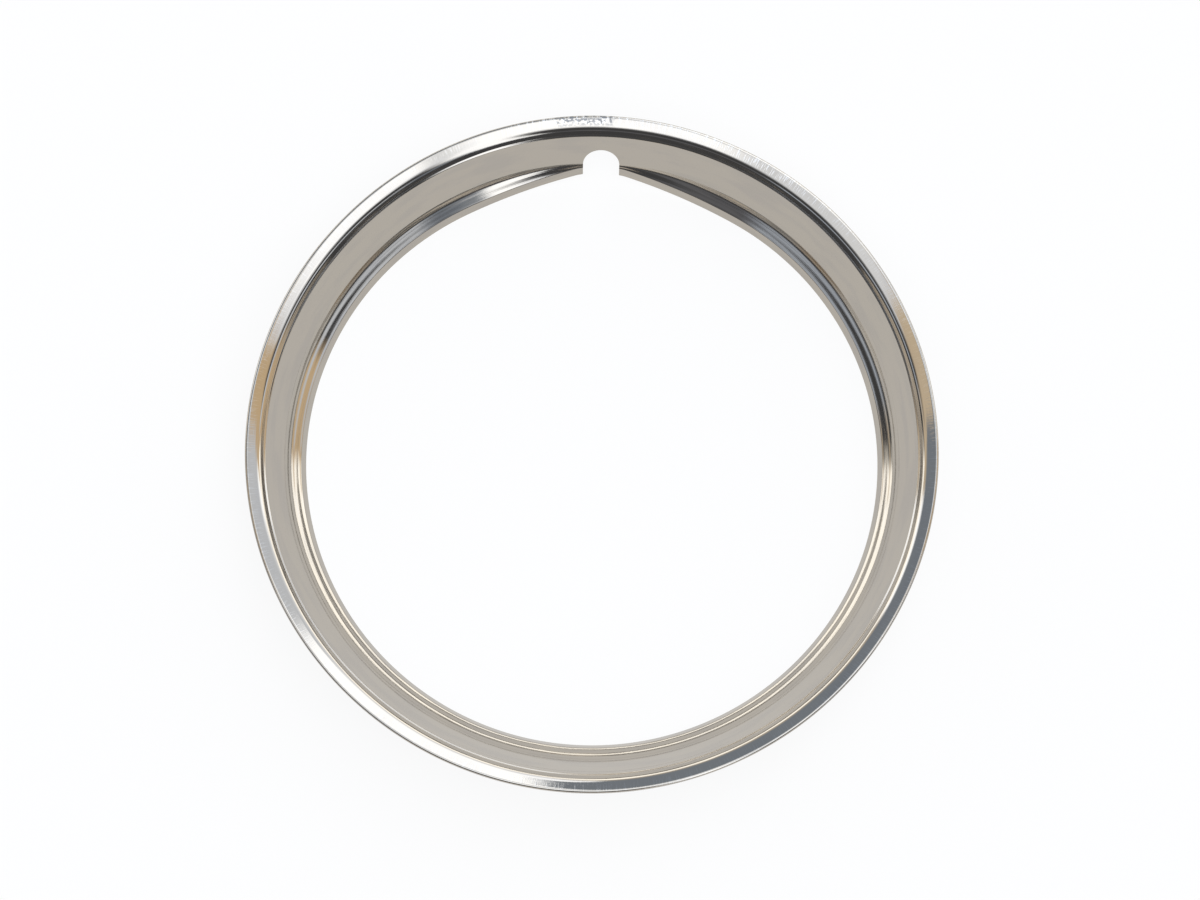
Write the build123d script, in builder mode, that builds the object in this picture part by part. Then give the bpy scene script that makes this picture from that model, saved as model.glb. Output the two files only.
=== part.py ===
# Wheel trim ring, one strip of polished stainless steel, roll-formed and welded to a ring.
# Millimetres. The ring lies on its back: axis +Z, face up, rear edge on Z = 0, valve notch at +Y.
import os
from math import cos, degrees, hypot, radians, sin, tan

from build123d import *

os.makedirs("parts", exist_ok=True)

# Driving dimensions of the ring, for a 15-inch wheel
outer_diameter = 404.0
opening_diameter = 341.4
overall_height = 42.0
sheet = 0.7

# Front lip that covers the wheel's flange: a dished band with a rounded outer edge
lip_slope = 24.0
lip_bend = 1.1

# Shoulder inside the lip, and the steep wall below it
shoulder_inset = 8.25
shoulder_width = 3.05
shoulder_slope = 45.0
wall_lean = 23.8

# Inner flange: a wide cove that ends in a short lip turned down to the wheel
flange_slope = 38.5
inner_lip_height = 5.6
inner_lip_lean = 19.7
cove_radius = 28.0
inner_lip_bend = 0

# Outer margin, turned under the lip and slit into spring fingers that grip the rim
skirt_height = 4.1
margin_inset = 5.6
margin_slope = 25.0
finger_count = 12
finger_width = 13.0
finger_lean = 24.0
finger_reach = 15.5
finger_tip = 2.4
finger_tip_slope = 62.0
slit_setback = 1.5
slit_clearance = 2.6

# Valve notch; beside it the cut inner flange has sprung open, less and less up to the flare's end
notch_width = 22.0
notch_height = 24.8
flare_start = 4.0
flare_end = 28.0
flare_steps = 4
flare_out = 6.3
flare_up = 5.9
flare_slope = 49.5
flare_cove_radius = 5.0

# Places in the section that stay the same all round, as (radius, height) on the strip's outer face
outer_radius = outer_diameter / 2
bend_radius = outer_radius - lip_bend
lip_run = tan(radians(lip_slope))
bend_top = overall_height + lip_bend * (1 / cos(radians(lip_slope)) - 1)
lip_edge = (outer_radius, bend_top + lip_bend * lip_run)
shoulder_radius = outer_radius - shoulder_inset
shoulder_top = (shoulder_radius, bend_top - (bend_radius - shoulder_radius) * lip_run)
shoulder_foot = (
    shoulder_top[0] - shoulder_width,
    shoulder_top[1] - shoulder_width * tan(radians(shoulder_slope)),
)
wall_run = tan(radians(wall_lean))
skirt_foot = (outer_radius, overall_height - skirt_height)
margin_radius = outer_radius - margin_inset
margin_fold = (margin_radius, skirt_foot[1] - margin_inset * tan(radians(margin_slope)))
finger_foot = (
    margin_fold[0] - finger_reach * sin(radians(finger_lean)),
    margin_fold[1] - finger_reach * cos(radians(finger_lean)),
)
finger_end = (
    finger_foot[0] + finger_tip * cos(radians(finger_tip_slope)),
    finger_foot[1] - finger_tip * sin(radians(finger_tip_slope)),
)

slit_angle = 360 / finger_count - degrees(finger_width / finger_foot[0])
finger_way = (-sin(radians(finger_lean)), -cos(radians(finger_lean)))
finger_out = (cos(radians(finger_lean)), -sin(radians(finger_lean)))
slit_corners = []
for along, across in (
    (slit_setback, -slit_clearance),
    (slit_setback, slit_clearance),
    (finger_reach + finger_tip, slit_clearance),
    (finger_reach + finger_tip, -slit_clearance),
):
    slit_corners.append(
        (
            margin_fold[0] + along * finger_way[0] + across * finger_out[0],
            margin_fold[1] + along * finger_way[1] + across * finger_out[1],
        )
    )
notch_near = opening_diameter / 2 - 5.0
notch_far = finger_foot[0] - 2.0


def station_plane(angle):
    """Plane through the ring's axis at an angle from the notch; its x is radius and its y is height."""
    turn = radians(angle)
    return Plane(origin=(0, 0, 0), x_dir=(sin(turn), cos(turn), 0), z_dir=(cos(turn), -sin(turn), 0))


def flare_at(angle):
    """How far the inner flange has opened at an angle from the notch, from 0 to 1."""
    share = (flare_end - max(abs(angle), flare_start)) / (flare_end - flare_start)
    return share**2


def face_corners(flare):
    """Corners of the strip's outer face, from the rear edge over the front lip to the finger's end."""
    rear_edge = (opening_diameter / 2 + flare * flare_out, flare * flare_up)
    flange_edge = (
        rear_edge[0] + inner_lip_height * tan(radians(inner_lip_lean)),
        rear_edge[1] + inner_lip_height,
    )
    flange_run = 1 / tan(radians(flange_slope + flare * (flare_slope - flange_slope)))
    wall_base = shoulder_foot[0] - wall_run * shoulder_foot[1]
    flange_base = flange_edge[0] - flange_run * flange_edge[1]
    cove_height = (wall_base - flange_base) / (flange_run - wall_run)
    cove = (wall_base + wall_run * cove_height, cove_height)
    return [
        rear_edge,
        flange_edge,
        cove,
        shoulder_foot,
        shoulder_top,
        lip_edge,
        skirt_foot,
        margin_fold,
        finger_foot,
        finger_end,
    ]


def face_bends(flare):
    """Bend radius at each corner of the outer face between its two ends; 0 is a sharp fold."""
    return [
        inner_lip_bend,
        cove_radius + flare * (flare_cove_radius - cove_radius),
        0,
        0,
        lip_bend,
        0,
        0,
        0,
    ]


def hidden_side(corners, bends):
    """Corners and bends of the strip's other face, one sheet thickness to the right of the outer face."""
    headings = []
    for start, end in zip(corners, corners[1:]):
        run = hypot(end[0] - start[0], end[1] - start[1])
        headings.append(((end[0] - start[0]) / run, (end[1] - start[1]) / run))
    moved = []
    radii = []
    for index, corner in enumerate(corners):
        before = headings[max(index - 1, 0)]
        after = headings[min(index, len(headings) - 1)]
        spread = 1 + before[0] * after[0] + before[1] * after[1]
        across = ((before[1] + after[1]) / spread, -(before[0] + after[0]) / spread)
        moved.append((corner[0] + sheet * across[0], corner[1] + sheet * across[1]))
        turn = before[0] * after[1] - before[1] * after[0]
        if 0 < index < len(corners) - 1:
            radius = bends[index - 1] + (sheet if turn > 0 else -sheet)
            radii.append(radius if bends[index - 1] > 2 * sheet else 0)
    # The rear edge is trimmed level, so that the ring lies flat on it
    moved[0] = (corners[0][0] + sheet / cos(radians(inner_lip_lean)), corners[0][1])
    return moved, radii


def strip_section(angle):
    """The strip's section on the plane at an angle from the notch."""
    corners, bends = face_corners(flare_at(angle)), face_bends(flare_at(angle))
    hidden_corners, hidden_bends = hidden_side(corners, bends)
    with BuildSketch(station_plane(angle)) as section:
        with BuildLine():
            outer_face = FilletPolyline(*corners, radius=bends)
            hidden_face = FilletPolyline(*hidden_corners, radius=hidden_bends)
            Line(outer_face @ 0, hidden_face @ 0)
            Line(outer_face @ 1, hidden_face @ 1)
        make_face()
    return section.sketch


with BuildPart() as trim_ring:
    # The formed strip, the same all round except beside the notch
    revolve(strip_section(flare_end), axis=-Axis.Z, revolution_arc=360 - 2 * flare_end)

    # The stretch beside the notch, through sections whose inner flange opens toward the cut
    revolve(strip_section(-flare_start), axis=-Axis.Z, revolution_arc=2 * flare_start)
    flare_stride = (flare_end - flare_start) / flare_steps
    for side in (-1, 1):
        loft([strip_section(side * (flare_start + flare_stride * step)) for step in range(flare_steps + 1)])

    # The valve notch, punched outward through the flange and the wall but not the fingers behind it
    with BuildSketch(Plane(origin=(0, notch_near, 0), x_dir=(-1, 0, 0), z_dir=(0, 1, 0))):
        with Locations((0, notch_height - notch_width / 2)):
            Circle(notch_width / 2)
        with Locations((0, (notch_height - notch_width / 2) / 2)):
            Rectangle(notch_width, notch_height - notch_width / 2)
    extrude(amount=notch_far - notch_near, mode=Mode.SUBTRACT)

    # The slits that leave the spring fingers, one slit behind the notch so that the valve passes
    for index in range(finger_count):
        with BuildSketch(station_plane(index * 360 / finger_count - slit_angle / 2)):
            Polygon(*slit_corners, align=None)
    revolve(axis=-Axis.Z, revolution_arc=slit_angle, mode=Mode.SUBTRACT)

trim_ring.part.label = "trim_ring"
export_step(trim_ring.part, "parts/trim_ring.step")
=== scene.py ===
# Wheel trim ring of polished stainless steel, lying on its back with the valve notch away from the camera.
# The ring's sizes are in millimetres, as they are drawn. The meshes, the fades and the room are in metres.
from math import asin, atan2, cos, degrees, exp, hypot, pi, radians, sin, sqrt, tan

import bpy
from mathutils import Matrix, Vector


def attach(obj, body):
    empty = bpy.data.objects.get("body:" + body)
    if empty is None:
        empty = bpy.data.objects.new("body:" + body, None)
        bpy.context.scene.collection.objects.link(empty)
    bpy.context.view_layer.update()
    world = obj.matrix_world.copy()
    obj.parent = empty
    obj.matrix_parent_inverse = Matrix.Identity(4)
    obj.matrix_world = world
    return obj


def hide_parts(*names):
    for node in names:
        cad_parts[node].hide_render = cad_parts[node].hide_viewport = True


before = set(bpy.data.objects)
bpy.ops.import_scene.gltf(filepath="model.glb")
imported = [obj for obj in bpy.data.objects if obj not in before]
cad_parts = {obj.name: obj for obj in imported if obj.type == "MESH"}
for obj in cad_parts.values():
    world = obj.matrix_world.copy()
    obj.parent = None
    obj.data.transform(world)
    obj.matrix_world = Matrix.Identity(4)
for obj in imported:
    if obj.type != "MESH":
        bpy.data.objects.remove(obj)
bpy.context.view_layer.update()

# A metre in the ring's millimetres
metre = 1000

# The ring's section
# One strip of stainless sheet, roll-formed: a dished front lip with a rounded edge, a shoulder and a narrow
# ledge, a steep wall, a coved flange and a short lip that stands on the wheel. Its outer margin turns under
# to spring fingers. The rolls leave a fine ridge and faint ripples in the cove and the flange.
sheet = 0.7
outer_radius = 202.0
opening_radius = 170.7
overall_height = 42.0
lip_slope = 24.0
lip_bend = 1.5
shoulder_inset = 7.7
shoulder_width = 2.75
shoulder_slope = 49.0
ledge_width = 0.95
ledge_slope = 33.0
wall_lean = 23.8
flange_slope = 42.5
inner_lip_height = 5.6
inner_lip_lean = 19.7
cove_radius = 20.0
cove_ripple = 0.11
cove_ripples = 2
roll_line = 0.2
roll_line_place = 0.86
roll_line_width = 0.055
flange_ripple = 0.085
least_ripple = 0.25
skirt_height = 4.1
margin_inset = 5.6
margin_slope = 25.0
finger_count = 12
finger_width = 13.0
finger_lean = 24.0
finger_reach = 15.5
finger_tip = 2.4
finger_tip_slope = 62.0
slit_setback = 1.5
notch_width = 22.0
notch_height = 24.8
flare_start = 4.0
flare_end = 28.0
flare_out = 6.3
flare_up = 5.9
flare_slope = 49.5
flare_cove_radius = 5.0
rear_lip_bend = 2.0
ledge_bend = 1.2
shoulder_foot_bend = 1.0
shoulder_top_bend = 9.0
skirt_bend = 0.9
margin_bend = 0.8
finger_bend = 0.8
no_bend = 0

lip_run = tan(radians(lip_slope))
bend_top = overall_height + lip_bend * (1 / cos(radians(lip_slope)) - 1)
lip_edge = (outer_radius, bend_top + lip_bend * lip_run)
shoulder_top = (outer_radius - shoulder_inset, bend_top - (shoulder_inset - lip_bend) * lip_run)
shoulder_foot = (
    shoulder_top[0] - shoulder_width,
    shoulder_top[1] - shoulder_width * tan(radians(shoulder_slope)),
)
ledge_foot = (shoulder_foot[0] - ledge_width, shoulder_foot[1] - ledge_width * tan(radians(ledge_slope)))
wall_run = tan(radians(wall_lean))
skirt_foot = (outer_radius, overall_height - skirt_height)
margin_fold = (outer_radius - margin_inset, skirt_foot[1] - margin_inset * tan(radians(margin_slope)))
finger_way = (-sin(radians(finger_lean)), -cos(radians(finger_lean)))
slit_top = (margin_fold[0] + slit_setback * finger_way[0], margin_fold[1] + slit_setback * finger_way[1])
finger_foot = (margin_fold[0] + finger_reach * finger_way[0], margin_fold[1] + finger_reach * finger_way[1])
finger_end = (
    finger_foot[0] + finger_tip * cos(radians(finger_tip_slope)),
    finger_foot[1] - finger_tip * sin(radians(finger_tip_slope)),
)


def flare_at(angle):
    """How far the inner flange has sprung open at an angle from the notch, from 0 to 1."""
    share = (flare_end - min(max(abs(angle), flare_start), flare_end)) / (flare_end - flare_start)
    return share**2


def face_corners(flare):
    """Corners of the polished face, from the rear edge over the front lip to the finger's end."""
    rear_edge = (opening_radius + flare * flare_out, flare * flare_up)
    flange_edge = (
        rear_edge[0] + inner_lip_height * tan(radians(inner_lip_lean)),
        rear_edge[1] + inner_lip_height,
    )
    flange_run = 1 / tan(radians(flange_slope + flare * (flare_slope - flange_slope)))
    wall_base = ledge_foot[0] - wall_run * ledge_foot[1]
    flange_base = flange_edge[0] - flange_run * flange_edge[1]
    cove_height = (wall_base - flange_base) / (flange_run - wall_run)
    cove = (wall_base + wall_run * cove_height, cove_height)
    return [
        rear_edge, flange_edge, cove, ledge_foot, shoulder_foot, shoulder_top,
        lip_edge, skirt_foot, margin_fold, slit_top, finger_foot, finger_end,
    ]


# Each inner corner's bend radius, and the facets that its bend gets; a straight corner gets none
bend_radii = [
    rear_lip_bend, cove_radius, ledge_bend, shoulder_foot_bend, shoulder_top_bend,
    lip_bend, skirt_bend, margin_bend, no_bend, finger_bend,
]
bend_facets = [7, 44, 5, 2, 14, 14, 5, 4, 0, 4]
cove_bend_index = 1

# Extra points that each straight run gets between its bends, by the run's number from the rear edge
edge_support = 0.25
most_support = 0.25
flange_run_index = 1
flange_points = 16
wall_run_index = 2
notch_points = 10
long_runs = (0, 4, 5, 7, 9)


def wall_shares():
    """Where points stand along the wall: close together up the notch's round end, then a few above it."""
    corners = face_corners(1.0)
    cove_turn = radians(flare_slope - (90 - wall_lean))
    cove_reach = flare_cove_radius * abs(tan(cove_turn / 2))
    low = corners[2][1] + cove_reach * cos(radians(wall_lean))
    foot_reach = ledge_bend * tan(radians(90 - wall_lean - ledge_slope) / 2)
    high = ledge_foot[1] - foot_reach * cos(radians(wall_lean))
    round_start = notch_height - notch_width / 2
    first = asin(max(0, low + edge_support - round_start) / (notch_width / 2))
    heights = [low + edge_support]
    for step in range(1, notch_points + 1):
        turn = first + (pi / 2 - first) * step / notch_points
        heights.append(round_start + notch_width / 2 * sin(turn))
    heights += [notch_height + (high - notch_height) * 0.5, high - edge_support]
    return [(height - low) / (high - low) for height in heights]


wall_points = wall_shares()


def polished_face(flare, rippled):
    """Points along the polished face, each with the direction that the face looks in."""
    corners = face_corners(flare)
    headings = []
    for start, end in zip(corners, corners[1:]):
        run = hypot(end[0] - start[0], end[1] - start[1])
        headings.append(((end[0] - start[0]) / run, (end[1] - start[1]) / run))
    starts = [corners[0]]
    ends = []
    arcs = []
    for index, facets in enumerate(bend_facets):
        corner = corners[index + 1]
        before, after = headings[index], headings[index + 1]
        radius = bend_radii[index]
        if index == cove_bend_index:
            radius += flare * (flare_cove_radius - cove_radius)
        turn = atan2(before[0] * after[1] - before[1] * after[0], before[0] * after[0] + before[1] * after[1])
        reach = radius * abs(tan(turn / 2))
        ends.append((corner[0] - reach * before[0], corner[1] - reach * before[1]))
        starts.append((corner[0] + reach * after[0], corner[1] + reach * after[1]))
        side = 1 if turn > 0 else -1
        centre = (ends[-1][0] - side * radius * before[1], ends[-1][1] + side * radius * before[0])
        arc = []
        for step in range(1, facets):
            swing = turn * step / facets
            heading = (
                before[0] * cos(swing) - before[1] * sin(swing),
                before[1] * cos(swing) + before[0] * sin(swing),
            )
            reach_out = radius
            if index == cove_bend_index:
                share = step / facets
                ripple = cove_ripple * sin(pi * share) * sin(2 * pi * cove_ripples * share)
                ridge = roll_line * exp(-(((share - roll_line_place) / roll_line_width) ** 2))
                reach_out += rippled * (1 - flare) * (ripple - ridge)
            place = (centre[0] + side * reach_out * heading[1], centre[1] - side * reach_out * heading[0])
            arc.append((place, (-heading[1], heading[0])))
        arcs.append(arc)
    ends.append(corners[-1])
    points = []
    for index, heading in enumerate(headings):
        start, end = starts[index], ends[index]
        looks = (-heading[1], heading[0])
        run = hypot(end[0] - start[0], end[1] - start[1])
        support = min(edge_support / run, most_support)
        shares = [support, 0.5, 1 - support] if index in long_runs else [0.5]
        if index == wall_run_index:
            shares = wall_points
        if index == flange_run_index:
            shares = [step / flange_points for step in range(1, flange_points)]
        for share in [0] + shares + [1]:
            lift = -flange_ripple * rippled * sin(2 * pi * share) if index == flange_run_index else 0
            place = (
                start[0] + share * (end[0] - start[0]) + lift * looks[0],
                start[1] + share * (end[1] - start[1]) + lift * looks[1],
            )
            points.append((place, looks))
        if index < len(arcs):
            if bend_facets[index] == 0:
                points.pop()
            points += arcs[index]
    return points


def hidden_face(points):
    """The strip's other face, a sheet's thickness behind the polished one; its rear edge is trimmed level."""
    behind = []
    for (radius, height), (looks_out, looks_up) in points:
        behind.append((radius - sheet * looks_out, height - sheet * looks_up))
    behind[0] = (points[0][0][0] + sheet / cos(radians(inner_lip_lean)), points[0][0][1])
    return behind


# The ring
# The formed strip is coiled to a ring and butt-welded at the notch, which is punched through its inner
# margin. The slits in the turned-under margin leave twelve spring fingers, with none behind the notch.
face_at_notch = [place for place, looks in polished_face(1.0, 0.0)]
point_count = len(face_at_notch)
height_slack = 0.001
weld_start = min(i for i, place in enumerate(face_at_notch) if place[1] > notch_height - height_slack)
slit_distances = [hypot(place[0] - slit_top[0], place[1] - slit_top[1]) for place in face_at_notch]
slit_start = slit_distances.index(min(slit_distances))

notch_edges = []
for index, (radius, height) in enumerate(face_at_notch):
    rise = max(0, height - (notch_height - notch_width / 2))
    half = sqrt(max(0, (notch_width / 2) ** 2 - rise**2)) if index < weld_start else 0
    notch_edges.append(degrees(asin(half / radius)))
notch_side = notch_edges[0]

finger_pitch = 360 / finger_count
finger_angle = degrees(finger_width / finger_foot[0])
gap_half = (finger_pitch - finger_angle) / 2
gap_facets = 11
finger_facets = 4
columns = []
in_finger = []
for finger in range(finger_count):
    for step in range(gap_facets):
        columns.append(finger * finger_pitch + gap_half * step / gap_facets)
        in_finger.append(False)
    for step in range(finger_facets):
        columns.append(finger * finger_pitch + gap_half + finger_angle * step / finger_facets)
        in_finger.append(True)
    for step in range(gap_facets):
        columns.append(finger * finger_pitch + gap_half + finger_angle + gap_half * step / gap_facets)
        in_finger.append(False)
columns.append(360.0)


def spread(angle, edge):
    """The angle of a point whose column starts at the notch's edge and is regular again past the flare."""
    from_notch = min(angle, 360 - angle)
    if from_notch < finger_pitch:
        from_notch = edge + from_notch * (1 - edge / finger_pitch)
    return from_notch if angle <= 180 else 360 - from_notch


# The strip laid flat, for the material: its length in metres, and how far across it each point lies
strip_total = 2 * pi * outer_radius / metre
hidden_offset = 150
strip_lengths = [0.0]
plain_face = [place for place, looks in polished_face(0.0, 0.0)]
for start, end in zip(plain_face, plain_face[1:]):
    strip_lengths.append(strip_lengths[-1] + hypot(end[0] - start[0], end[1] - start[1]))

vertices = []
along_strip = []
across_strip = []
front = []
back = []
for column, angle in enumerate(columns):
    low_angle = spread(angle, notch_side)
    rippled = least_ripple + (1 - least_ripple) * (1 - cos(radians(angle))) / 2
    points = polished_face(flare_at(min(low_angle, 360 - low_angle)), rippled)
    places = ([place for place, looks in points], hidden_face(points))
    for side, rows in ((0, front), (1, back)):
        row = []
        for index, (radius, height) in enumerate(places[side]):
            welded = column == len(columns) - 1 and index >= weld_start
            if welded:
                row.append(rows[0][index])
                continue
            if index > slit_start and not (in_finger[column] or in_finger[column - 1]):
                row.append(None)
                continue
            turn = radians(spread(angle, notch_edges[index]))
            row.append(len(vertices))
            vertices.append((radius * sin(turn) / metre, radius * cos(turn) / metre, height / metre))
            along_strip.append(turn * outer_radius / metre)
            across_strip.append((strip_lengths[index] + side * hidden_offset) / metre)
        rows.append(row)

faces = []
for column in range(len(columns) - 1):
    here_f, next_f = front[column], front[column + 1]
    here_b, next_b = back[column], back[column + 1]
    last = point_count - 1 if in_finger[column] else slit_start
    for i in range(last):
        faces.append((here_f[i], next_f[i], next_f[i + 1], here_f[i + 1]))
        faces.append((here_b[i], here_b[i + 1], next_b[i + 1], next_b[i]))
    faces.append((here_f[0], here_b[0], next_b[0], next_f[0]))
    faces.append((here_f[last], next_f[last], next_b[last], here_b[last]))
    starts_finger = in_finger[column] and not in_finger[column - 1]
    ends_finger = not in_finger[column] and in_finger[column - 1]
    for i in range(slit_start, point_count - 1):
        if starts_finger:
            faces.append((here_f[i], here_f[i + 1], here_b[i + 1], here_b[i]))
        if ends_finger:
            faces.append((here_f[i], here_b[i], here_b[i + 1], here_f[i + 1]))
for i in range(weld_start):
    faces.append((front[0][i], front[0][i + 1], back[0][i + 1], back[0][i]))
    faces.append((front[-1][i], back[-1][i], back[-1][i + 1], front[-1][i + 1]))

ring_mesh = bpy.data.meshes.new("trim_ring_steel")
ring_mesh.from_pydata(vertices, [], faces)
strip_map = ring_mesh.uv_layers.new(name="strip")
for loop in ring_mesh.loops:
    strip_map.data[loop.index].uv = (along_strip[loop.vertex_index], across_strip[loop.vertex_index])
# The faces that close the ring run on past the strip's end and not back to its start
closing_span = 0.5
for face in ring_mesh.polygons:
    corner_uvs = [strip_map.data[i].uv for i in face.loop_indices]
    if max(uv[0] for uv in corner_uvs) - min(uv[0] for uv in corner_uvs) > closing_span:
        for uv in corner_uvs:
            if uv[0] < closing_span:
                uv[0] += strip_total
sharp_fold = 35.0
ring_mesh.shade_smooth()
ring_mesh.set_sharp_from_angle(angle=radians(sharp_fold))
ring = bpy.data.objects.new("trim_ring_steel", ring_mesh)
bpy.context.scene.collection.objects.link(ring)

steel = bpy.data.materials.new("polished_steel")
steel.use_nodes = True
steel_nodes = steel.node_tree.nodes
steel_links = steel.node_tree.links
steel_shader = steel_nodes["Principled BSDF"]
steel_shader.inputs["Metallic"].default_value = 1.0
clean_steel = (0.43, 0.395, 0.345, 1)
hazed_steel = (0.405, 0.375, 0.335, 1)
scratched_steel = (0.62, 0.61, 0.59, 1)
ground_steel = (0.20, 0.20, 0.20, 1)
mirror_roughness = 0.035
haze_roughness = 0.05
line_roughness = 0.02
wear_roughness = 0.28
back_roughness = 0.25
line_relief = 0.25
wear_relief = -1.0
roll_mark_relief = 4.0
bump_strength = 0.10
bump_distance = 0.0002
strip_uv = steel_nodes.new("ShaderNodeUVMap")
strip_uv.uv_map = "strip"
strip_place = steel_nodes.new("ShaderNodeSeparateXYZ")
steel_links.new(strip_uv.outputs["UV"], strip_place.inputs[0])


def between(value, low, high):
    """Goes smoothly from 0 at the first level to 1 at the second."""
    share = steel_nodes.new("ShaderNodeMapRange")
    share.interpolation_type = "SMOOTHSTEP"
    share.inputs["From Min"].default_value = low
    share.inputs["From Max"].default_value = high
    steel_links.new(value, share.inputs["Value"])
    return share.outputs[0]


def marks(along_size, across_size, detail, low, high):
    """A mask of marks of a mean size in millimetres along and across the strip, cut between two levels."""
    size = steel_nodes.new("ShaderNodeMapping")
    size.inputs["Scale"].default_value = (metre / along_size, metre / across_size, 1)
    steel_links.new(strip_uv.outputs["UV"], size.inputs["Vector"])
    noise = steel_nodes.new("ShaderNodeTexNoise")
    noise.noise_dimensions = "2D"
    noise.inputs["Scale"].default_value = 1.0
    noise.inputs["Detail"].default_value = detail
    steel_links.new(size.outputs[0], noise.inputs["Vector"])
    return between(noise.outputs["Fac"], low, high)


def combine(operation, first, second, third=None):
    """Joins masks or numbers with one operation."""
    node = steel_nodes.new("ShaderNodeMath")
    node.operation = operation
    for socket, value in zip(node.inputs, (first, second, third)):
        if isinstance(value, (int, float)):
            socket.default_value = value
        elif value is not None:
            steel_links.new(value, socket)
    return node.outputs[0]


# Where the finish changes: the lip, the stretch beside the weld, the weld itself and the unpolished back
lip_inner_radius = 195.5
lip_outer_radius = 201.9
strip_points = list(zip(strip_lengths, plain_face))
lip_start = min(length for length, place in strip_points if place[0] > lip_inner_radius) / metre
lip_end = min(length for length, place in strip_points if place[0] > lip_outer_radius) / metre
lip_start_fade = (lip_start - 0.001, lip_start + 0.003)
lip_end_fade = (lip_end + 0.001, lip_end - 0.0005)
hatch_right_fade = (0.19, 0.10)
hatch_left_fade = (strip_total - 0.075, strip_total - 0.03)
weld_right_fade = (0.009, 0.005)
weld_left_fade = (strip_total - 0.031, strip_total - 0.025)
back_fade = (0.140, 0.145)
along = strip_place.outputs["X"]
across = strip_place.outputs["Y"]
on_lip = combine("MULTIPLY", between(across, *lip_start_fade), between(across, *lip_end_fade))
beside_weld = combine("MAXIMUM", between(along, *hatch_right_fade), between(along, *hatch_left_fade))
at_weld = combine("MAXIMUM", between(along, *weld_right_fade), between(along, *weld_left_fade))
on_back = between(across, *back_fade)
wall_top = min(strip_points, key=lambda point: abs(point[1][0] - ledge_foot[0]))[0] / metre
roll_mark_drop = 0.0035
roll_mark_middle = wall_top - roll_mark_drop
roll_mark_half = 0.0003
roll_mark = combine(
    "MULTIPLY",
    between(across, roll_mark_middle - roll_mark_half, roll_mark_middle),
    between(across, roll_mark_middle + roll_mark_half, roll_mark_middle),
)

# The marks: polishing lines round the ring, haze, hatching across the lip and grinding at the weld
hatch_elsewhere = 0.2
polish_lines = marks(along_size=60.0, across_size=0.5, detail=3.0, low=0.3, high=0.7)
haze = marks(along_size=45.0, across_size=9.0, detail=4.0, low=0.40, high=0.68)
hatch = marks(along_size=0.7, across_size=7.0, detail=2.0, low=0.50, high=0.72)
hatch = combine("MULTIPLY", hatch, on_lip)
hatch = combine("MULTIPLY", hatch, combine("MULTIPLY_ADD", beside_weld, 1 - hatch_elsewhere, hatch_elsewhere))
grinding = marks(along_size=2.2, across_size=1.6, detail=3.0, low=0.42, high=0.62)
grinding = combine("MULTIPLY", grinding, on_lip)
grinding = combine("MULTIPLY", grinding, at_weld)
wear = combine("MAXIMUM", hatch, grinding)
finish = combine("MULTIPLY_ADD", haze, haze_roughness, mirror_roughness)
finish = combine("MULTIPLY_ADD", polish_lines, line_roughness, finish)
finish = combine("MULTIPLY_ADD", wear, wear_roughness, finish)
finish = combine("MULTIPLY_ADD", on_back, back_roughness, finish)
steel_links.new(finish, steel_shader.inputs["Roughness"])
steel_colour = steel_nodes.new("ShaderNodeMix")
steel_colour.data_type = "RGBA"
steel_colour.inputs["A"].default_value = clean_steel
steel_colour.inputs["B"].default_value = hazed_steel
steel_links.new(haze, steel_colour.inputs["Factor"])
worn_colour = steel_nodes.new("ShaderNodeMix")
worn_colour.data_type = "RGBA"
worn_colour.inputs["B"].default_value = scratched_steel
steel_links.new(hatch, worn_colour.inputs["Factor"])
steel_links.new(steel_colour.outputs["Result"], worn_colour.inputs["A"])
ground_colour = steel_nodes.new("ShaderNodeMix")
ground_colour.data_type = "RGBA"
ground_colour.inputs["B"].default_value = ground_steel
steel_links.new(grinding, ground_colour.inputs["Factor"])
steel_links.new(worn_colour.outputs["Result"], ground_colour.inputs["A"])
steel_links.new(ground_colour.outputs["Result"], steel_shader.inputs["Base Color"])
relief = combine("MULTIPLY_ADD", polish_lines, line_relief, combine("MULTIPLY", wear, wear_relief))
relief = combine("MULTIPLY_ADD", roll_mark, roll_mark_relief, relief)
scratch_bump = steel_nodes.new("ShaderNodeBump")
scratch_bump.inputs["Strength"].default_value = bump_strength
scratch_bump.inputs["Distance"].default_value = bump_distance
steel_links.new(relief, scratch_bump.inputs["Height"])
steel_links.new(scratch_bump.outputs["Normal"], steel_shader.inputs["Normal"])
ring_mesh.materials.append(steel)

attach(ring, "root")
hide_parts("trim_ring")

# The floor
# A plain pale studio floor, seen as white by the camera and in the steel, that keeps the ring's soft shadow.
floor_half = 6.0
floor_height = -0.0002
floor_colour = (0.8, 0.79, 0.78, 1)
white_share = 0.88
floor_mesh = bpy.data.meshes.new("floor")
floor_mesh.from_pydata(
    [
        (-floor_half, -floor_half, floor_height),
        (floor_half, -floor_half, floor_height),
        (floor_half, floor_half, floor_height),
        (-floor_half, floor_half, floor_height),
    ],
    [],
    [(0, 1, 2, 3)],
)
floor = bpy.data.objects.new("floor", floor_mesh)
bpy.context.scene.collection.objects.link(floor)
floor_paint = bpy.data.materials.new("floor_paint")
floor_paint.use_nodes = True
floor_nodes = floor_paint.node_tree.nodes
floor_links = floor_paint.node_tree.links
floor_shader = floor_nodes["Principled BSDF"]
floor_shader.inputs["Base Color"].default_value = floor_colour
floor_shader.inputs["Roughness"].default_value = 1.0
floor_shader.inputs["Specular IOR Level"].default_value = 0.0
seen_white = floor_nodes.new("ShaderNodeEmission")
seen_white.inputs["Color"].default_value = (1, 1, 1, 1)
seen_white.inputs["Strength"].default_value = 1.0
light_path = floor_nodes.new("ShaderNodeLightPath")
camera_or_glossy = floor_nodes.new("ShaderNodeMath")
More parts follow.
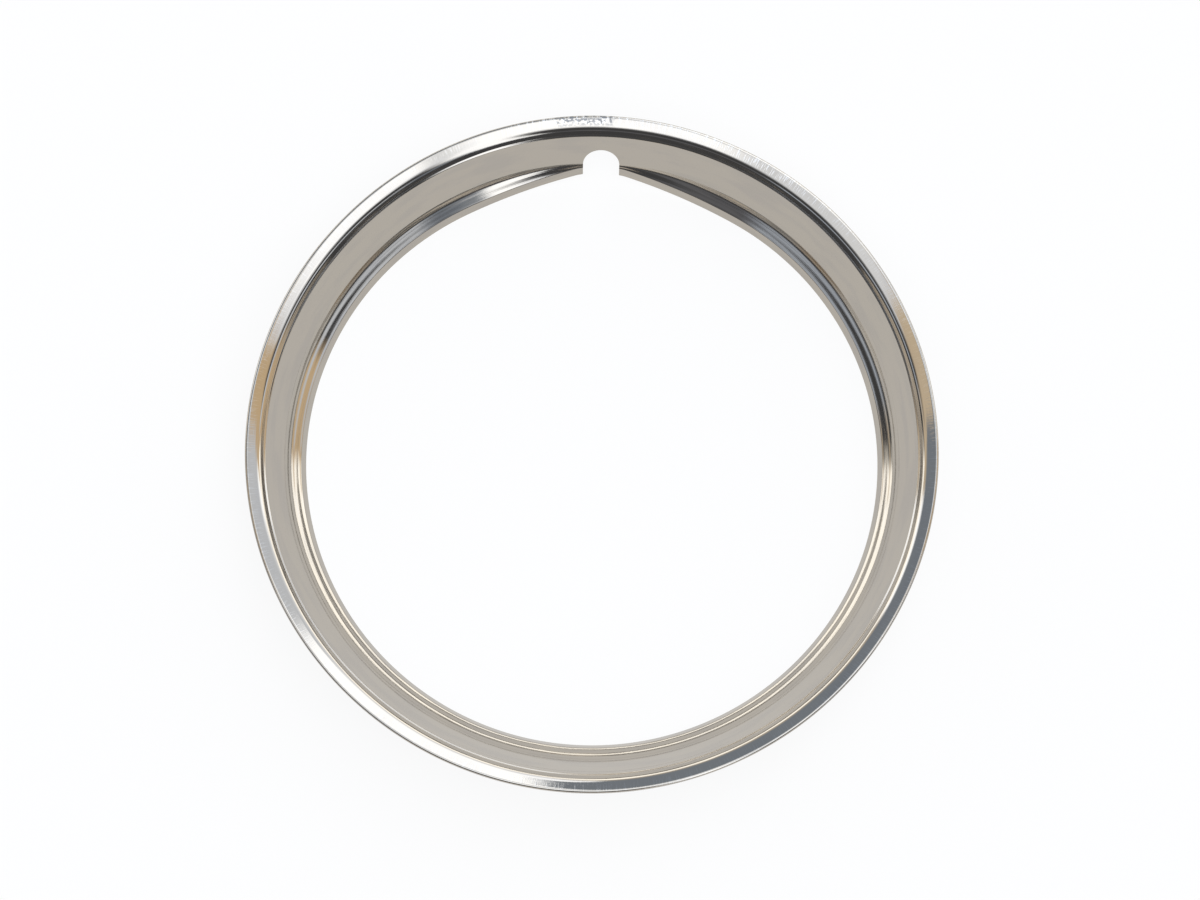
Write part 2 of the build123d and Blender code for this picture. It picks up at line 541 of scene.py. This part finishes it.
camera_or_glossy.operation = "MAXIMUM"
floor_links.new(light_path.outputs["Is Camera Ray"], camera_or_glossy.inputs[0])
floor_links.new(light_path.outputs["Is Glossy Ray"], camera_or_glossy.inputs[1])
any_seen = floor_nodes.new("ShaderNodeMath")
any_seen.operation = "MAXIMUM"
floor_links.new(camera_or_glossy.outputs[0], any_seen.inputs[0])
floor_links.new(light_path.outputs["Is Transmission Ray"], any_seen.inputs[1])
seen_share = floor_nodes.new("ShaderNodeMath")
seen_share.operation = "MULTIPLY"
seen_share.inputs[1].default_value = white_share
floor_links.new(any_seen.outputs[0], seen_share.inputs[0])
floor_mix = floor_nodes.new("ShaderNodeMixShader")
floor_links.new(seen_share.outputs[0], floor_mix.inputs[0])
floor_links.new(floor_shader.outputs[0], floor_mix.inputs[1])
floor_links.new(seen_white.outputs[0], floor_mix.inputs[2])
floor_links.new(floor_mix.outputs[0], floor_nodes["Material Output"].inputs["Surface"])
floor_mesh.materials.append(floor_paint)

# The room
# A room that the polished steel mirrors: a pale ceiling, a bright far right, grey sides with two warm
# patches, and a dark near side, in five levels. Angles go round from the far side by way of the right.
room = bpy.data.worlds.new("room")
bpy.context.scene.world = room
room.use_nodes = True
room_nodes = room.node_tree.nodes
room_links = room.node_tree.links
room_strength = 2.6
uneven_scale = 3.5
uneven_size = 0.06
uneven_detail = 2.0
white = (0.94, 1.0, 1.10)
pale_grey = (0.54, 0.58, 0.65)
mid_grey = (0.42, 0.46, 0.53)
slate = (0.14, 0.165, 0.205)
blue_grey = (0.27, 0.31, 0.38)
wood = (0.42, 0.33, 0.22)
pale_wood = (0.42, 0.36, 0.28)
shade = (0.038, 0.040, 0.045)
dark_slate = (0.085, 0.090, 0.105)
cream = (0.92, 0.92, 0.90)
taupe = (0.34, 0.31, 0.27)
ceiling = (0.56, 0.60, 0.66)
upper_sides = [
    (0, slate), (2, white), (36, white), (41, mid_grey), (70, mid_grey), (73, wood), (89, wood),
    (93, pale_grey), (104, white), (132, white), (138, pale_grey), (150, white), (205, white),
    (222, pale_grey), (262, pale_grey), (265, pale_wood), (279, pale_wood), (282, slate),
]
middle_sides = [
    (0, taupe), (3, pale_grey), (55, pale_grey), (61, white), (68, white), (70, wood), (79, wood),
    (83, mid_grey), (132, mid_grey), (138, slate), (147, slate), (150, white), (166, white),
    (170, dark_slate), (216, dark_slate), (222, blue_grey), (268, blue_grey), (278, pale_wood),
    (290, pale_wood), (293, white), (307, white), (312, taupe),
]
shoulder_sides = [
    (0, taupe), (3, pale_grey), (55, pale_grey), (61, white), (68, white), (70, wood), (79, wood),
    (83, shade), (140, shade), (150, white), (160, white), (166, shade), (268, shade), (278, pale_wood),
    (290, pale_wood), (293, white), (307, white), (312, taupe),
]
low_sides = [
    (0, cream), (76, cream), (80, wood), (96, wood), (101, shade), (218, shade), (278, shade), (283, cream),
]
lowest_sides = [
    (0, taupe), (76, taupe), (80, wood), (96, wood), (101, taupe), (112, taupe), (115, shade), (121, shade),
    (125, taupe), (222, taupe), (226, shade), (241, shade), (245, taupe),
]
room_direction = room_nodes.new("ShaderNodeTexCoord")
room_axes = room_nodes.new("ShaderNodeSeparateXYZ")
room_links.new(room_direction.outputs["Generated"], room_axes.inputs[0])
bearing = room_nodes.new("ShaderNodeMath")
bearing.operation = "ARCTAN2"
room_links.new(room_axes.outputs["X"], bearing.inputs[0])
room_links.new(room_axes.outputs["Y"], bearing.inputs[1])
bearing_share = room_nodes.new("ShaderNodeMath")
bearing_share.operation = "MULTIPLY"
bearing_share.inputs[1].default_value = 1 / (2 * pi)
room_links.new(bearing.outputs[0], bearing_share.inputs[0])
unevenness = room_nodes.new("ShaderNodeTexNoise")
unevenness.inputs["Scale"].default_value = uneven_scale
unevenness.inputs["Detail"].default_value = uneven_detail
room_links.new(room_direction.outputs["Generated"], unevenness.inputs["Vector"])
uneven_share = room_nodes.new("ShaderNodeMath")
uneven_share.operation = "MULTIPLY_ADD"
uneven_share.inputs[1].default_value = uneven_size
room_links.new(unevenness.outputs["Fac"], uneven_share.inputs[0])
even_out = room_nodes.new("ShaderNodeMath")
even_out.operation = "SUBTRACT"
even_out.inputs[1].default_value = uneven_size / 2
room_links.new(bearing_share.outputs[0], even_out.inputs[0])
room_links.new(even_out.outputs[0], uneven_share.inputs[2])
bearing_wrap = room_nodes.new("ShaderNodeMath")
bearing_wrap.operation = "FRACT"
room_links.new(uneven_share.outputs[0], bearing_wrap.inputs[0])


def wall_colours(sides):
    """Colours of the room's walls by bearing, from the far side round by the right."""
    ramp = room_nodes.new("ShaderNodeValToRGB")
    room_links.new(bearing_wrap.outputs[0], ramp.inputs[0])
    stops = ramp.color_ramp.elements
    stops.remove(stops[1])
    for number, (angle, colour) in enumerate(sides):
        stop = stops[0] if number == 0 else stops.new(angle / 360)
        stop.position = angle / 360
        stop.color = (*colour, 1)
    return ramp.outputs["Color"]


def change_with_height(low, high, start, end, height=room_axes.outputs["Z"]):
    """Goes from one colour to another between two heights of the direction that is looked in."""
    share = room_nodes.new("ShaderNodeMapRange")
    share.interpolation_type = "SMOOTHSTEP"
    share.inputs["From Min"].default_value = start
    share.inputs["From Max"].default_value = end
    room_links.new(height, share.inputs["Value"])
    mix = room_nodes.new("ShaderNodeMix")
    mix.data_type = "RGBA"
    room_links.new(share.outputs[0], mix.inputs["Factor"])
    for name, colour in (("A", low), ("B", high)):
        if isinstance(colour, tuple):
            mix.inputs[name].default_value = (*colour, 1)
        else:
            room_links.new(colour, mix.inputs[name])
    return mix.outputs["Result"]


def leaning_height(lean):
    """A height that counts for more on the far side of the room than on the near side."""
    height = room_nodes.new("ShaderNodeMath")
    height.operation = "MULTIPLY_ADD"
    height.inputs[1].default_value = lean
    room_links.new(room_axes.outputs["Y"], height.inputs[0])
    room_links.new(room_axes.outputs["Z"], height.inputs[2])
    return height.outputs[0]


low_lean = 0.04
upper_lean = 0.26
low_change = (0.065, 0.10)
middle_change = (0.235, 0.315)
shoulder_change = (0.38, 0.46)
upper_change = (0.48, 0.72)
ceiling_change = (0.93, 0.98)
low_height = leaning_height(low_lean)
walls = change_with_height(wall_colours(lowest_sides), wall_colours(low_sides), *low_change, low_height)
walls = change_with_height(walls, wall_colours(middle_sides), *middle_change, low_height)
walls = change_with_height(walls, wall_colours(shoulder_sides), *shoulder_change)
walls = change_with_height(walls, wall_colours(upper_sides), *upper_change, leaning_height(upper_lean))
walls = change_with_height(walls, ceiling, *ceiling_change)
room_light = room_nodes["Background"]
room_light.inputs["Strength"].default_value = room_strength
room_links.new(walls, room_light.inputs["Color"])

# The camera
# Looks down on the ring from in front, a little off its axis, as a person who stands over it does.
camera_distance = 1.5
camera_tilt = radians(12.57)
camera_turn = radians(-1.8)
focal_pixels = 2578.0
image_width = 1200.0
image_height = 900.0
view_centre = (591.8, 444.1)
camera_data = bpy.data.cameras.new("camera")
camera_data.sensor_fit = "HORIZONTAL"
camera_data.sensor_width = 36.0
camera_data.lens = focal_pixels / image_width * camera_data.sensor_width
camera_data.shift_x = (image_width / 2 - view_centre[0]) / image_width
camera_data.shift_y = (view_centre[1] - image_height / 2) / image_width
camera = bpy.data.objects.new("camera", camera_data)
bpy.context.scene.collection.objects.link(camera)
sight = Vector((-sin(camera_turn) * sin(camera_tilt), -cos(camera_turn) * sin(camera_tilt), cos(camera_tilt)))
camera.location = Vector((0, 0, overall_height / metre)) + sight * camera_distance
camera.rotation_euler = (camera_tilt, 0, -camera_turn)
bpy.context.scene.camera = camera
bpy.context.scene.view_settings.view_transform = "Standard"
